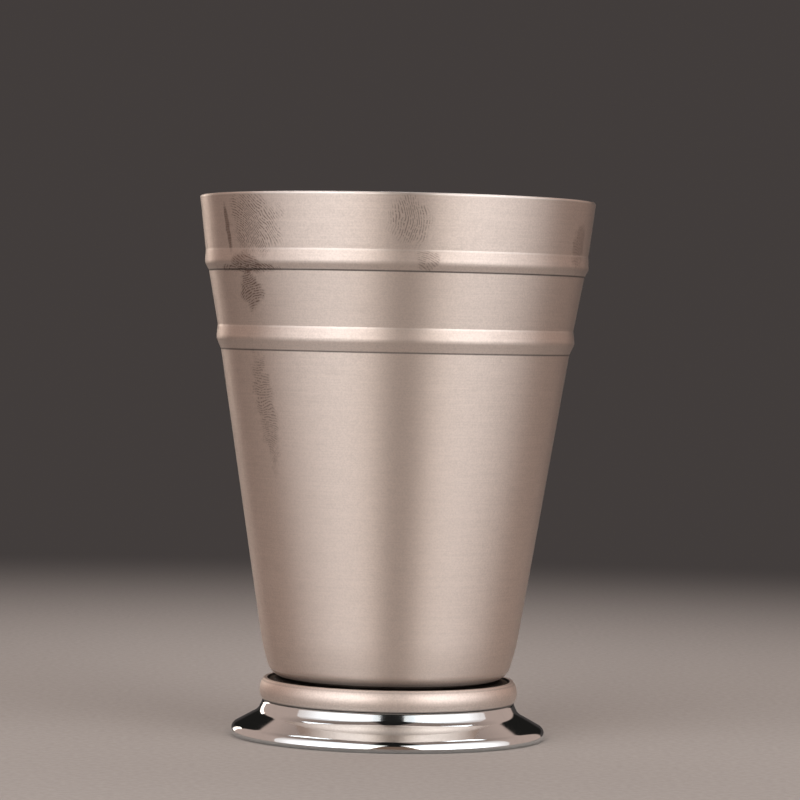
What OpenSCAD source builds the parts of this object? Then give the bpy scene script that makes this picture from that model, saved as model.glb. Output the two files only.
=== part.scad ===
// Footed julep cup: a drawn cup body with two rolled beads, on a pedestal foot with a half-round collar.
// The cup stands on the plane z = 0 and its axis is the z axis.

/* [Cup body] */
// Outside diameter of the rim
rim_d = 86; // [78:0.5:96]
// Height of the rim above the table
cup_h = 117; // [100:0.5:140]
// Thickness of the sheet that the body is drawn from
wall_t = 0.8; // [0.5:0.05:1.1]
// Taper of the band above the upper bead, in degrees from upright
top_taper = 6.7; // [3:0.1:10]
// Taper of the band between the beads, in degrees from upright
middle_taper = 10.3; // [6:0.1:13]
// How much wider the wall's radius is at the tuck than at the sharp corner of the bottom
tuck_out = 2.05; // [1:0.05:3.5]
// Height of the tuck above the bottom of the body
tuck_h = 6.5; // [5:0.1:10]
// Radius of the tuck
tuck_r = 45; // [10:1:60]
// How far the sharp corner of the bottom, which the heel rounds off, stays inside the collar's top
base_inset = 1.6; // [0.5:0.1:3]
// Inside radius of the heel between the bottom and the wall
heel_r = 3.1; // [2:0.1:4.2]

/* [Beads] */
// Height of the plain band from the rim down to the upper bead
top_band_h = 11.75; // [8:0.05:16]
// Height of the upper bead
upper_bead_h = 4.5; // [3:0.1:7]
// Height of the plain band between the beads
middle_band_h = 11.75; // [8:0.05:16]
// Height of the lower bead
lower_bead_h = 5.2; // [3:0.1:7]
// How much narrower the wall's radius is below a bead than above it
bead_step = 0.79; // [0.3:0.01:1.2]
// How far the upper bead's sharp crown stands out from the line between its creases
upper_bead_out = 0.6; // [0.3:0.05:0.9]
// How far the lower bead's sharp crown stands out from the line between its creases
lower_bead_out = 0.7; // [0.3:0.05:0.9]
// How high the upper bead's crown lies, from its lower crease at 0 to its upper crease at 1
upper_crown_share = 0.38; // [0.3:0.02:0.6]
// How high the lower bead's crown lies, from its lower crease at 0 to its upper crease at 1
lower_crown_share = 0.48; // [0.3:0.02:0.6]
// Radius that rounds off the crown of each bead
crown_r = 2; // [1.2:0.1:3]
// Radius of the crease above and below each bead
crease_r = 0.4; // [0.2:0.1:1.2]

/* [Foot] */
// Largest diameter of the foot
foot_d = 68.8; // [62:0.1:76]
// Thickness of the sheet that the foot is pressed from
foot_t = 0.7; // [0.5:0.05:0.9]
// Inside radius of the rolled edge
hem_r = 1.5; // [0.8:0.1:1.8]
// Inside radius of the bend from the rolled edge to the lip on the table
lip_r = 0.1; // [0.05:0.05:0.4]
// Width of the flat lip inside the rolled edge
lip_w = 2; // [1:0.1:4]
// How far out the corner of the cove lies, from the shoulder at 0 to the rolled edge at 1
cove_out_share = 0.18; // [0.15:0.01:0.4]
// How high the corner of the cove lies, from the table at 0 to the shoulder at 1
cove_up_share = 0.67; // [0.5:0.01:0.8]
// Radius of the cove
cove_r = 3; // [2:0.1:6]
// Height of the shoulder above the table
shoulder_h = 7.9; // [6.5:0.05:11]
// How far the shoulder's sharp corner stays inside the collar's lower edge
shoulder_inset = 0.2; // [0.1:0.05:0.5]
// Inside radius of the bend at the shoulder
shoulder_r = 0.3; // [0.1:0.05:0.5]
// Radius in the corner between the shoulder and the neck
neck_root_r = 0.5; // [0.2:0.05:0.6]
// Inside radius of the bend from the neck to the platform
platform_r = 0.5; // [0.3:0.05:1]
// Width of the platform, from the outside of the neck in to the hole
platform_w = 10.4; // [7:0.1:14]

/* [Collar] */
// Height of the collar
collar_h = 4.55; // [4:0.05:7]
// Diameter of the collar at its upper edge
collar_top_d = 54.3; // [53:0.1:57]
// How much wider the collar's radius is at its lower edge than at its upper edge
collar_spread = 0.35; // [0:0.05:0.8]
// How far the crown of the collar stands out from the line between its edges
collar_bulge = 0.7; // [0.4:0.05:1.2]
// Radius of the collar's two outer edges
collar_edge_r = 0.25; // [0.1:0.05:0.4]
// Width of the collar's flat top, outside the filler's chamfer
collar_land_w = 0.9; // [0.6:0.05:1.5]
// Radial clearance between the neck and the collar's bore
collar_clearance = 0.05; // [0.02:0.01:0.15]
// Chamfer of the bore's upper edge, which holds the filler ring
filler_chamfer = 0.8; // [0.5:0.05:1]
// Room that the bore's lower chamfer leaves round the root of the neck
relief_room = 0.1; // [0.05:0.05:0.3]
// How far the platform stands above the collar
platform_proud = 0.05; // [0:0.05:0.3]

/* [Brazing] */
// Thickness of the filler between the platform and the body's bottom
body_filler_t = 0.25; // [0.1:0.05:0.5]
// How far the body's filler ring stays back from the hole and from the heel
body_filler_margin = 0.6; // [0.2:0.1:1.5]
// How far the collar's filler runs down into the clearance
collar_filler_depth = 1.4; // [0.5:0.1:2.5]

/* [Hidden] */

satin_steel = [0.78, 0.70, 0.65];
polished_steel = [0.82, 0.80, 0.79];
filler_metal = [0.80, 0.74, 0.58];

// Largest turn between two points of a bend, in degrees
bend_step = 3;
// Facets of the preview round the axis
round_fn = 180;
// How much of the platform's bend the collar's filler covers
filler_bend_share = 0.5;

rim_r = rim_d / 2;
foot_r = foot_d / 2;
collar_top_r = collar_top_d / 2;
base_r = collar_top_r - base_inset;
collar_low_r = collar_top_r + collar_spread;
collar_bore_r = collar_top_r - collar_land_w - filler_chamfer;
neck_r = collar_bore_r - collar_clearance;
hole_r = neck_r - platform_w;
platform_h = shoulder_h + collar_h + platform_proud;
bottom_h = platform_h + body_filler_t;

// Unit vector along v
function unit(v) = v / norm(v);

// Vector v turned left by a right angle
function left(v) = [-v[1], v[0]];

// Vector v turned left by an angle in degrees
function turned(v, angle) = v * cos(angle) + left(v) * sin(angle);

// Angle by which a path turns left at corner i
function turn_at(path, i) =
    let (a = path[i] - path[i - 1], b = path[i + 1] - path[i])
    atan2(a[0] * b[1] - a[1] * b[0], a * b);

// Distance from corner i to the ends of a bend of the wanted radius
function wanted_setback(path, bends, i) =
    i == 0 || i == len(path) - 1 ? 0 : bends[i] * tan(abs(turn_at(path, i)) / 2);

// The same distance, shortened where two bends would meet on one straight
function setback(path, bends, i) =
    let (
        own = wanted_setback(path, bends, i),
        before = own + wanted_setback(path, bends, i - 1),
        after = own + wanted_setback(path, bends, i + 1),
        room_before = norm(path[i] - path[i - 1]),
        room_after = norm(path[i + 1] - path[i])
    )
    own * min(1, before > 0 ? room_before / before : 1, after > 0 ? room_after / after : 1);

// Points of the bend at corner i, on a line that runs a distance to the left of the path
function bend_points(path, bends, i, distance) =
    let (
        turn = turn_at(path, i),
        side = sign(turn),
        back = setback(path, bends, i),
        heading = unit(path[i] - path[i - 1])
    )
    back == 0 ? [path[i] + distance * left(heading)] :
    let (
        radius = back / tan(abs(turn) / 2),
        start = path[i] - back * heading,
        centre = start + side * radius * left(heading),
        spoke = -side * left(heading),
        steps = ceil(abs(turn) / bend_step)
    )
    [for (k = [0:steps]) centre + (radius - side * distance) * turned(spoke, turn * k / steps)];

// A path with its corners bent, moved a distance to its left
function bent_line(path, bends, distance) =
    let (
        last = len(path) - 1,
        first_heading = unit(path[1] - path[0]),
        last_heading = unit(path[last] - path[last - 1])
    )
    concat(
        [path[0] + distance * left(first_heading)],
        [for (i = [1:last - 1]) each bend_points(path, bends, i, distance)],
        [path[last] + distance * left(last_heading)]
    );

// Points in the opposite order
function reversed(points) = [for (i = [len(points) - 1:-1:0]) points[i]];

// Corner that gives the arc from a up to b its bulge
function bulge_corner(a, b, bulge) =
    let (chord = norm(b - a), lean = 2 * atan(2 * bulge / chord))
    (a + b) / 2 - left(unit(b - a)) * tan(lean) * chord / 2;

// Radius of the arc over the chord from a to b
function bulge_radius(a, b, bulge) =
    let (chord = norm(b - a))
    (chord * chord / 4 + bulge * bulge) / (2 * bulge);

// Sharp crown that lies a share of the way from a to b and stands out to the right
function crown_corner(a, b, out, share) = a + (b - a) * share - left(unit(b - a)) * out;

// Point where the line through p meets the line through q, both given by an angle
function crossing(p, p_angle, q, q_angle) =
    let (d = q - p)
    p + [cos(p_angle), sin(p_angle)]
        * (d[0] * sin(q_angle) - d[1] * cos(q_angle)) / sin(q_angle - p_angle);

// Outside of the cup body, from the axis out along the bottom and up to the rim
rim_cap_r = wall_t / 2;
rim_edge = [rim_r - rim_cap_r * (1 - cos(top_taper)), cup_h - rim_cap_r * (1 + sin(top_taper))];
upper_top = [rim_r - top_band_h * tan(top_taper), cup_h - top_band_h];
upper_low = upper_top - [bead_step, upper_bead_h];
lower_top = upper_low - [middle_band_h * tan(middle_taper), middle_band_h];
lower_low = lower_top - [bead_step, lower_bead_h];
body_path = [
    [0, bottom_h],
    [base_r, bottom_h],
    [base_r + tuck_out, bottom_h + tuck_h],
    lower_low,
    crown_corner(lower_low, lower_top, lower_bead_out, lower_crown_share),
    lower_top,
    upper_low,
    crown_corner(upper_low, upper_top, upper_bead_out, upper_crown_share),
    upper_top,
    rim_edge
];
body_bends = [
    0,
    heel_r + wall_t,
    tuck_r,
    crease_r,
    crown_r,
    crease_r,
    crease_r,
    crown_r,
    crease_r,
    0
];

// Top of the foot, from the lip on the table out over the rolled edge and up to the platform
hem_out_r = hem_r + foot_t;
lip_out_r = lip_r + foot_t;
platform_out_r = platform_r + foot_t;
shoulder = [collar_low_r - shoulder_inset, shoulder_h];
cove = [shoulder[0] + (foot_r - shoulder[0]) * cove_out_share, shoulder_h * cove_up_share];
hem_to_cove = cove - [foot_r - hem_out_r, lip_out_r];
flange_angle = atan2(hem_to_cove[1], hem_to_cove[0]) + asin(hem_out_r / norm(hem_to_cove));
hem_top = crossing(cove, flange_angle, [foot_r, 0], 90);
platform_bend = 6;
foot_path = [
    [foot_r - hem_out_r - lip_w, 0],
    [foot_r, 0],
    hem_top,
    cove,
    shoulder,
    [neck_r, shoulder_h],
    [neck_r, platform_h],
    [hole_r, platform_h]
];
foot_bends = [0, lip_out_r, hem_out_r, cove_r, shoulder_r + foot_t, neck_root_r, platform_out_r, 0];

// Section of the collar, from the top of the bore down and round the crown
collar_relief = neck_root_r + relief_room;
collar_low = [collar_low_r, shoulder_h];
collar_top = [collar_top_r, shoulder_h + collar_h];
bore_top_h = shoulder_h + collar_h - filler_chamfer;
collar_path = [
    [collar_bore_r, bore_top_h],
    [collar_bore_r, shoulder_h + collar_relief],
    [collar_bore_r + collar_relief, shoulder_h],
    collar_low,
    bulge_corner(collar_low, collar_top, collar_bulge),
    collar_top,
    [collar_bore_r + filler_chamfer, shoulder_h + collar_h]
];
collar_bends = [0, 0, 0, collar_edge_r, bulge_radius(collar_low, collar_top, collar_bulge), collar_edge_r, 0];

// Solid of revolution about the z axis from the points of its half section
module revolved(points) {
    rotate_extrude($fn = round_fn) polygon(points);
}

// Deep-drawn cup: one sheet of even thickness whose beads show inside and outside, with a rounded rim
module cup_body() {
    outside = bent_line(body_path, body_bends, 0);
    inside = bent_line(body_path, body_bends, wall_t);
    rim_outer = outside[len(outside) - 1];
    rim_inner = inside[len(inside) - 1];
    cap_steps = ceil(180 / bend_step);
    cap = [
        for (k = [1:cap_steps - 1])
            (rim_outer + rim_inner) / 2 + turned((rim_outer - rim_inner) / 2, 180 * k / cap_steps)
    ];
    color(satin_steel) revolved(concat(outside, cap, reversed(inside)));
}

// Pressed pedestal foot: rolled edge with a flat lip, cove, shoulder, neck and platform from one sheet
module foot() {
    top = bent_line(foot_path, foot_bends, 0);
    under = bent_line(foot_path, foot_bends, foot_t);
    color(polished_steel) revolved(concat(top, reversed(under)));
}

// Solid half-round ring that sits on the foot's shoulder round its neck
module foot_collar() {
    color(satin_steel) revolved(bent_line(collar_path, collar_bends, 0));
}

// Flat ring of filler metal that joins the body's bottom to the foot's platform
module body_braze_ring() {
    inner_r = hole_r + body_filler_margin;
    body_flat_r = base_r - setback(body_path, body_bends, 1);
    outer_r = min(body_flat_r, neck_r - platform_out_r) - body_filler_margin;
    color(filler_metal)
        revolved([[inner_r, platform_h], [outer_r, platform_h], [outer_r, bottom_h], [inner_r, bottom_h]]);
}

// Filler metal in the groove between the collar's chamfer and the bend at the top of the neck
module collar_braze_ring() {
    bend = bend_points(foot_path, foot_bends, platform_bend, 0);
    covered = ceil((len(bend) - 1) * filler_bend_share);
    fill_h = bend[covered][1];
    chamfer_r = collar_bore_r + fill_h - bore_top_h;
    low_h = bore_top_h - collar_filler_depth;
    color(filler_metal) revolved(concat(
        [[neck_r, low_h]],
        [for (k = [0:covered]) bend[k]],
        [[chamfer_r, fill_h], [collar_bore_r, bore_top_h], [collar_bore_r, low_h]]
    ));
}

cup_body();
foot();
foot_collar();
body_braze_ring();
collar_braze_ring();
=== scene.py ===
"""Footed julep cup: satin body with two rolled beads, half-round collar and mirror-polished pedestal foot."""

import logging
import math
from dataclasses import dataclass
from enum import Enum
from typing import Callable

import bpy
import numpy as np
from mathutils import Matrix


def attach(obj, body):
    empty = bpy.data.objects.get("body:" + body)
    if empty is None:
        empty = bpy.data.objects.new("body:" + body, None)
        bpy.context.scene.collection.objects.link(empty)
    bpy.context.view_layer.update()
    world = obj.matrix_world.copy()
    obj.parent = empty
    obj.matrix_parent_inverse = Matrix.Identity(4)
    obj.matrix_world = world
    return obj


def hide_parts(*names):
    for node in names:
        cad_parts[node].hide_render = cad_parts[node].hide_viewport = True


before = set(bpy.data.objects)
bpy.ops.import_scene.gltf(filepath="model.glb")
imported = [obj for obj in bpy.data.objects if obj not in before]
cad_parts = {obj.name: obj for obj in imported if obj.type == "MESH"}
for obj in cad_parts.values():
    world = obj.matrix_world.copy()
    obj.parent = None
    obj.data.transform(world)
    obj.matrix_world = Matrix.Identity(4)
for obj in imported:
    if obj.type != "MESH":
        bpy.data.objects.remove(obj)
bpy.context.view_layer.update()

MM = 0.001
# Lengths in millimetres below which two points are one, a point is on the axis, and a corner has no bend
SAME_POINT, ON_AXIS, NO_BEND = 1e-6, 1e-7, 1e-9
# Depth of a finish's lines and lumps at full strength
BUMP_DEPTH = 0.05 * MM
log = logging.getLogger("julep_cup")
Socket = bpy.types.NodeSocket
Color = tuple[float, float, float, float]


@dataclass
class Outline:
    """Half section of a turned piece, in millimetres.

    Attributes:
        points: Radius and height of each point.
        into: Unit heading of the outline as it arrives at each point.
        away: Unit heading of the outline as it leaves each point.
    """

    points: np.ndarray
    into: np.ndarray
    away: np.ndarray

    def reversed(self) -> "Outline":
        """Returns the same outline walked the other way."""
        return Outline(self.points[::-1], -self.away[::-1], -self.into[::-1])

    def then(self, other: "Outline") -> "Outline":
        """Joins another outline to this one's end with a straight stretch.

        Args:
            other: Outline that follows. Where it starts at this one's last point, that point is kept once.

        Returns:
            The joined outline.
        """
        gap = other.points[0] - self.points[-1]
        length = float(np.hypot(*gap))
        into, away = self.into.copy(), self.away.copy()
        other_into = other.into.copy()
        if length < SAME_POINT:
            away[-1] = other.away[0]
            return Outline(np.concatenate([self.points, other.points[1:]]),
                           np.concatenate([into, other_into[1:]]),
                           np.concatenate([away, other.away[1:]]))
        away[-1] = gap / length
        other_into[0] = gap / length
        return Outline(np.concatenate([self.points, other.points]),
                       np.concatenate([into, other_into]),
                       np.concatenate([away, other.away]))

    def closed(self) -> "Outline":
        """Sets the headings of the straight stretch that closes a loop.

        Returns:
            The same points with the headings at the first and the last one set.
        """
        gap = self.points[0] - self.points[-1]
        heading = gap / np.hypot(*gap)
        into, away = self.into.copy(), self.away.copy()
        away[-1] = heading
        into[0] = heading
        return Outline(self.points, into, away)


def left_of(v: np.ndarray) -> np.ndarray:
    """Returns a plane vector, or an array of them, turned left by a right angle."""
    return np.stack([-v[..., 1], v[..., 0]], axis=-1)


def turned(v: np.ndarray, angles: np.ndarray) -> np.ndarray:
    """Returns a plane vector turned left by each of the angles, in radians."""
    return np.outer(np.cos(angles), v) + np.outer(np.sin(angles), left_of(v))


@dataclass
class BentPath:
    """Corners joined by straight stretches, with a bend of its own radius at each corner.

    Attributes:
        corners: Sharp corners of the path, in millimetres.
        bends: Radius of the bend at each corner. The first and last are not used.
        step: Largest turn between two points of a bend, in degrees.
    """

    corners: np.ndarray
    bends: list[float]
    step: float = 2.0

    def turn(self, i: int) -> float:
        """Works out how far the path turns at a corner.

        Args:
            i: Number of the corner.

        Returns:
            The angle by which the path turns left, in radians.
        """
        a = self.corners[i] - self.corners[i - 1]
        b = self.corners[i + 1] - self.corners[i]
        return math.atan2(a[0] * b[1] - a[1] * b[0], float(a @ b))

    def wanted_setback(self, i: int) -> float:
        """Works out how far before a corner a bend of the full radius starts.

        Args:
            i: Number of the corner.

        Returns:
            The bend's radius times the tangent of half the turn, in millimetres.
        """
        if i in (0, len(self.corners) - 1):
            return 0.0
        return self.bends[i] * math.tan(abs(self.turn(i)) / 2)

    def setback(self, i: int) -> float:
        """Works out how far before a corner its bend starts, where two bends share one straight.

        Args:
            i: Number of the corner.

        Returns:
            The wanted setback, shortened so that it leaves room for both neighbours.
        """
        own = self.wanted_setback(i)
        share = 1.0
        for other in (i - 1, i + 1):
            wanted = own + self.wanted_setback(other)
            room = float(np.hypot(*(self.corners[i] - self.corners[other])))
            if wanted > 0:
                share = min(share, room / wanted)
        return own * share

    def line(self, distance: float = 0.0) -> Outline:
        """Samples the path, moved a distance to its left.

        A straight stretch keeps its two ends. A bend is an arc about a centre that lies the bend's
        radius off the path, so the moved line is an arc about the same centre.

        Args:
            distance: How far the line lies to the left of the path.

        Returns:
            The outline with its exact headings.
        """
        corners = self.corners
        runs = np.diff(corners, axis=0)
        units = runs / np.hypot(runs[:, 0], runs[:, 1])[:, None]
        points = [corners[:1] + distance * left_of(units[:1])]
        into, away = [units[:1]], [units[:1]]
        for i in range(1, len(corners) - 1):
            turn, back = self.turn(i), self.setback(i)
            if back < NO_BEND:
                points.append((corners[i] + distance * left_of(units[i]))[None])
                into.append(units[i - 1:i])
                away.append(units[i:i + 1])
                continue
            radius = back / math.tan(abs(turn) / 2)
            side = math.copysign(1.0, turn)
            start = corners[i] - back * units[i - 1]
            centre = start + side * radius * left_of(units[i - 1])
            angles = turn * np.linspace(0, 1, math.ceil(math.degrees(abs(turn)) / self.step) + 1)
            spokes = turned(-side * left_of(units[i - 1]), angles)
            points.append(centre + (radius - side * distance) * spokes)
            into.append(turned(units[i - 1], angles))
            away.append(into[-1])
        points.append(corners[-1:] + distance * left_of(units[-1:]))
        into.append(units[-1:])
        away.append(units[-1:])
        return Outline(np.concatenate(points), np.concatenate(into), np.concatenate(away))


def half_round(start: np.ndarray, end: np.ndarray, count: int) -> Outline:
    """Samples the half circle that turns left from start to end.

    Each point is the middle plus the start's spoke turned by its share of half a turn.

    Args:
        start: First point.
        end: Last point.
        count: How many points the arc has.

    Returns:
        The arc with its exact headings.
    """
    middle, spoke = (start + end) / 2, (start - end) / 2
    angles = np.linspace(0, math.pi, count)
    unit = left_of(spoke) / np.hypot(*spoke)
    headings = turned(unit, angles)
    return Outline(middle + turned(spoke, angles), headings, headings)


def bulge_corner(a: np.ndarray, b: np.ndarray, bulge: float) -> np.ndarray:
    """Finds the corner whose bend is the arc from a to b with a given bulge to the right.

    The arc meets its chord at the angle 2 atan(2 bulge / chord), and the corner lies where the two
    tangents meet: the chord's half times the tangent of that angle, off the chord's middle.

    Args:
        a: Start of the arc.
        b: End of the arc.
        bulge: How far the arc stands out from its chord, in millimetres.

    Returns:
        The corner.
    """
    run = b - a
    chord = float(np.hypot(*run))
    lean = 2 * math.atan(2 * bulge / chord)
    return (a + b) / 2 - left_of(run / chord) * math.tan(lean) * chord / 2


def crown_corner(a: np.ndarray, b: np.ndarray, out: float, share: float) -> np.ndarray:
    """Returns the corner that lies a share of the way from a to b and stands out to the right."""
    run = b - a
    return a + run * share - left_of(run / np.hypot(*run)) * out


def bulge_radius(a: np.ndarray, b: np.ndarray, bulge: float) -> float:
    """Returns an arc's radius: half its chord squared plus its bulge squared, over twice its bulge."""
    chord = float(np.hypot(*(b - a)))
    return (chord * chord / 4 + bulge * bulge) / (2 * bulge)


def revolve(name: str, outline: Outline, around: int, ring: bool) -> bpy.types.Object:
    """Turns an outline round the z axis into a closed mesh with exact normals.

    Vertex (i, k) is (r_i cos t_k, r_i sin t_k, z_i) with t_k = 2 pi k / around. A point on the axis
    is one vertex. The outside lies to the right of the outline's heading (h_r, h_z), so a corner's
    normal is (h_z cos t, h_z sin t, -h_r). The UV map holds the share of the outline's length in u
    and the share of a turn in v, so its tangent runs along the outline.

    Args:
        name: Name of the piece.
        outline: Half section in millimetres.
        around: Number of steps round the axis.
        ring: True where the outline is a loop that doesn't touch the axis.

    Returns:
        The new object, at the origin, with its place in its mesh.
    """
    if ring:
        outline = outline.closed()
    pts = outline.points
    count = len(pts)
    on_axis = pts[:, 0] < ON_AXIS
    sizes = np.where(on_axis, 1, around)
    first = np.concatenate([[0], np.cumsum(sizes)[:-1]])
    steps = np.arange(around + 1)
    index = first[:, None] + np.where(on_axis[:, None], 0, steps[None] % around)
    angle = 2 * math.pi * steps / around
    cos, sin = np.cos(angle), np.sin(angle)
    heights = np.broadcast_to(pts[:, 1:], (count, around + 1))
    grid = np.stack([pts[:, :1] * cos, pts[:, :1] * sin, heights], -1)
    verts = np.concatenate([grid[i, :sizes[i]] for i in range(count)]) * MM

    start = np.arange(count if ring else count - 1)
    end = (start + 1) % count
    lengths = np.hypot(*(pts[end] - pts[start]).T)
    shares = np.concatenate([[0], np.cumsum(lengths)]) / lengths.sum()
    heads = {"start": outline.away[start], "end": outline.into[end]}
    normals = {}
    for side, head in heads.items():
        slope = np.broadcast_to(-head[:, :1], (len(start), around + 1))
        normals[side] = np.stack([head[:, 1:] * cos, head[:, 1:] * sin, slope], -1)

    k0, k1 = np.arange(around), np.arange(around) + 1
    loops, uvs, norms, totals = [], [], [], []
    for row, (s, e) in enumerate(zip(start, end)):
        corners = [(s, k0, "start"), (s, k1, "start"), (e, k1, "end"), (e, k0, "end")]
        if on_axis[s]:
            corners.pop(1)
        if on_axis[e]:
            corners.pop(2 if not on_axis[s] else 1)
        loops.append(np.stack([index[p, k] for p, k, _ in corners], 1))
        uvs.append(np.stack([np.stack([np.full(around, shares[row + (side == "end")]), k / around], -1)
                             for _, k, side in corners], 1))
        norms.append(np.stack([normals[side][row, k] for _, k, side in corners], 1))
        totals.append(np.full(around, len(corners)))
    loop_verts = np.concatenate([a.reshape(-1) for a in loops])
    face_sizes = np.concatenate(totals)
    mesh = bpy.data.meshes.new(name)
    mesh.vertices.add(len(verts))
    mesh.vertices.foreach_set("co", verts.astype(np.float32).ravel())
    mesh.loops.add(len(loop_verts))
    mesh.loops.foreach_set("vertex_index", loop_verts.astype(np.int32))
    mesh.polygons.add(len(face_sizes))
    loop_starts = np.concatenate([[0], np.cumsum(face_sizes)[:-1]])
    mesh.polygons.foreach_set("loop_start", loop_starts.astype(np.int32))
    mesh.update(calc_edges=True)
    uv = mesh.uv_layers.new(name="turned")
    uv.data.foreach_set("uv", np.concatenate([a.reshape(-1, 2) for a in uvs]).astype(np.float32).ravel())
    mesh.polygons.foreach_set("use_smooth", np.ones(len(face_sizes), bool))
    mesh.validate()
    mesh.normals_split_custom_set(np.concatenate([a.reshape(-1, 3) for a in norms]).tolist())
    piece = bpy.data.objects.new(name, mesh)
    bpy.context.scene.collection.objects.link(piece)
    return piece


class Graph:
    """Adds nodes to a node tree and joins their sockets."""

    def __init__(self, tree: bpy.types.NodeTree) -> None:
        """Keeps the tree that the nodes go into."""
        self.tree = tree

    def node(self, kind: str, settings: dict | None = None, inputs: dict | None = None) -> bpy.types.Node:
        """Adds one node.

        Args:
            kind: Blender's name of the node's type.
            settings: Values for the node's own properties.
            inputs: Values or sockets for its inputs, by name or by number.

        Returns:
            The node.
        """
        made = self.tree.nodes.new(kind)
        for key, value in (settings or {}).items():
            setattr(made, key, value)
        for key, value in (inputs or {}).items():
            if isinstance(value, Socket):
                self.tree.links.new(value, made.inputs[key])
            else:
                made.inputs[key].default_value = value
        return made

    def math(self, operation: str, a: Socket | float, b: Socket | float = 0.0, clamp: bool = False) -> Socket:
        """Returns the result of a Math node."""
        settings = {"operation": operation, "use_clamp": clamp}
        return self.node("ShaderNodeMath", settings, {0: a, 1: b}).outputs[0]

    def vector(self, operation: str, a: Socket | tuple, b: Socket | tuple = (0, 0, 0)) -> bpy.types.Node:
        """Returns a Vector Math node."""
        return self.node("ShaderNodeVectorMath", {"operation": operation}, {0: a, 1: b})

    def smooth(self, value: Socket, low: float, high: float, out: tuple[float, float] = (0.0, 1.0)) -> Socket:
        """Returns a value that eases from out[0] to out[1] as the input goes from low to high."""
        return self.node("ShaderNodeMapRange", {"interpolation_type": "SMOOTHSTEP"},
                         {0: value, 1: low, 2: high, 3: out[0], 4: out[1]}).outputs[0]

    def blend(self, share: Socket | float, a: Socket | Color, b: Socket | Color) -> Socket:
        """Mixes two colours.

        Args:
            share: How much of the second colour there is, from 0 to 1.
            a: First colour.
            b: Second colour.

        Returns:
            The mixed colour.
        """
        mix = self.node("ShaderNodeMix", {"data_type": "RGBA"})
        for key, value in (("Factor_Float", share), ("A_Color", a), ("B_Color", b)):
            socket = next(s for s in mix.inputs if s.identifier == key)
            if isinstance(value, Socket):
                self.tree.links.new(value, socket)
            else:
                socket.default_value = value
        return next(s for s in mix.outputs if s.identifier == "Result_Color")

    def noise(self, vector: Socket, scale: float, detail: float = 2.0, rough: float = 0.5) -> Socket:
        """Returns a noise value between 0 and 1."""
        made = self.node("ShaderNodeTexNoise", None,
                         {"Vector": vector, "Scale": scale, "Detail": detail, "Roughness": rough})
        return made.outputs["Fac"]

    def scaled(self, vector: Socket | tuple, share: Socket | float) -> Socket:
        """Returns a vector times a number."""
        made = self.node("ShaderNodeVectorMath", {"operation": "SCALE"}, {0: vector, "Scale": share})
        return made.outputs[0]

    def split(self, vector: Socket) -> bpy.types.bpy_prop_collection:
        """Returns the X, Y and Z of a vector, by name."""
        return self.node("ShaderNodeSeparateXYZ", None, {0: vector}).outputs

    def effect(self, tree: bpy.types.NodeTree, inputs: dict) -> bpy.types.Node:
        """Places one of the shared node groups."""
        return self.node("ShaderNodeGroup", {"node_tree": tree}, inputs)

    def bump(self, height: Socket, strength: float) -> Socket:
        """Returns the normal of a surface whose lines or lumps are up to the bump depth high."""
        made = self.node("ShaderNodeBump", None,
                         {"Height": height, "Strength": strength, "Distance": BUMP_DEPTH})
        return made.outputs[0]


def group(name: str, inputs: dict[str, float | tuple], outputs: dict[str, str],
          fill: Callable[[Graph, dict[str, Socket]], dict[str, Socket]]) -> bpy.types.NodeTree:
    """Builds a shader node group.

    Args:
        name: Name of the group.
        inputs: Each input's name and default, where a tuple is a vector.
        outputs: Each output's name and socket type.
        fill: Function that gets the graph and the input sockets and returns the output sockets.

    Returns:
        The group's node tree.
    """
    tree = bpy.data.node_groups.new(name, "ShaderNodeTree")
    for key, value in inputs.items():
        kind = "NodeSocketVector" if isinstance(value, tuple) else "NodeSocketFloat"
        tree.interface.new_socket(key, in_out="INPUT", socket_type=kind).default_value = value
    for key, kind in outputs.items():
        tree.interface.new_socket(key, in_out="OUTPUT", socket_type=kind)
    graph = Graph(tree)
    given = graph.node("NodeGroupInput")
    result = fill(graph, {key: given.outputs[key] for key in inputs})
    graph.node("NodeGroupOutput", None, result)
    return tree


# Coarse lines to fine lines by number, share of the fine ones, and scale of the speckle in 1/m
COARSE_LINES, FINE_SHARE, SPECKLE_SCALE = 0.23, 0.65, 2600.0
# Heights of the darkest and of the lightest line
SHADE_RANGE = (0.35, 0.65)


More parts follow.
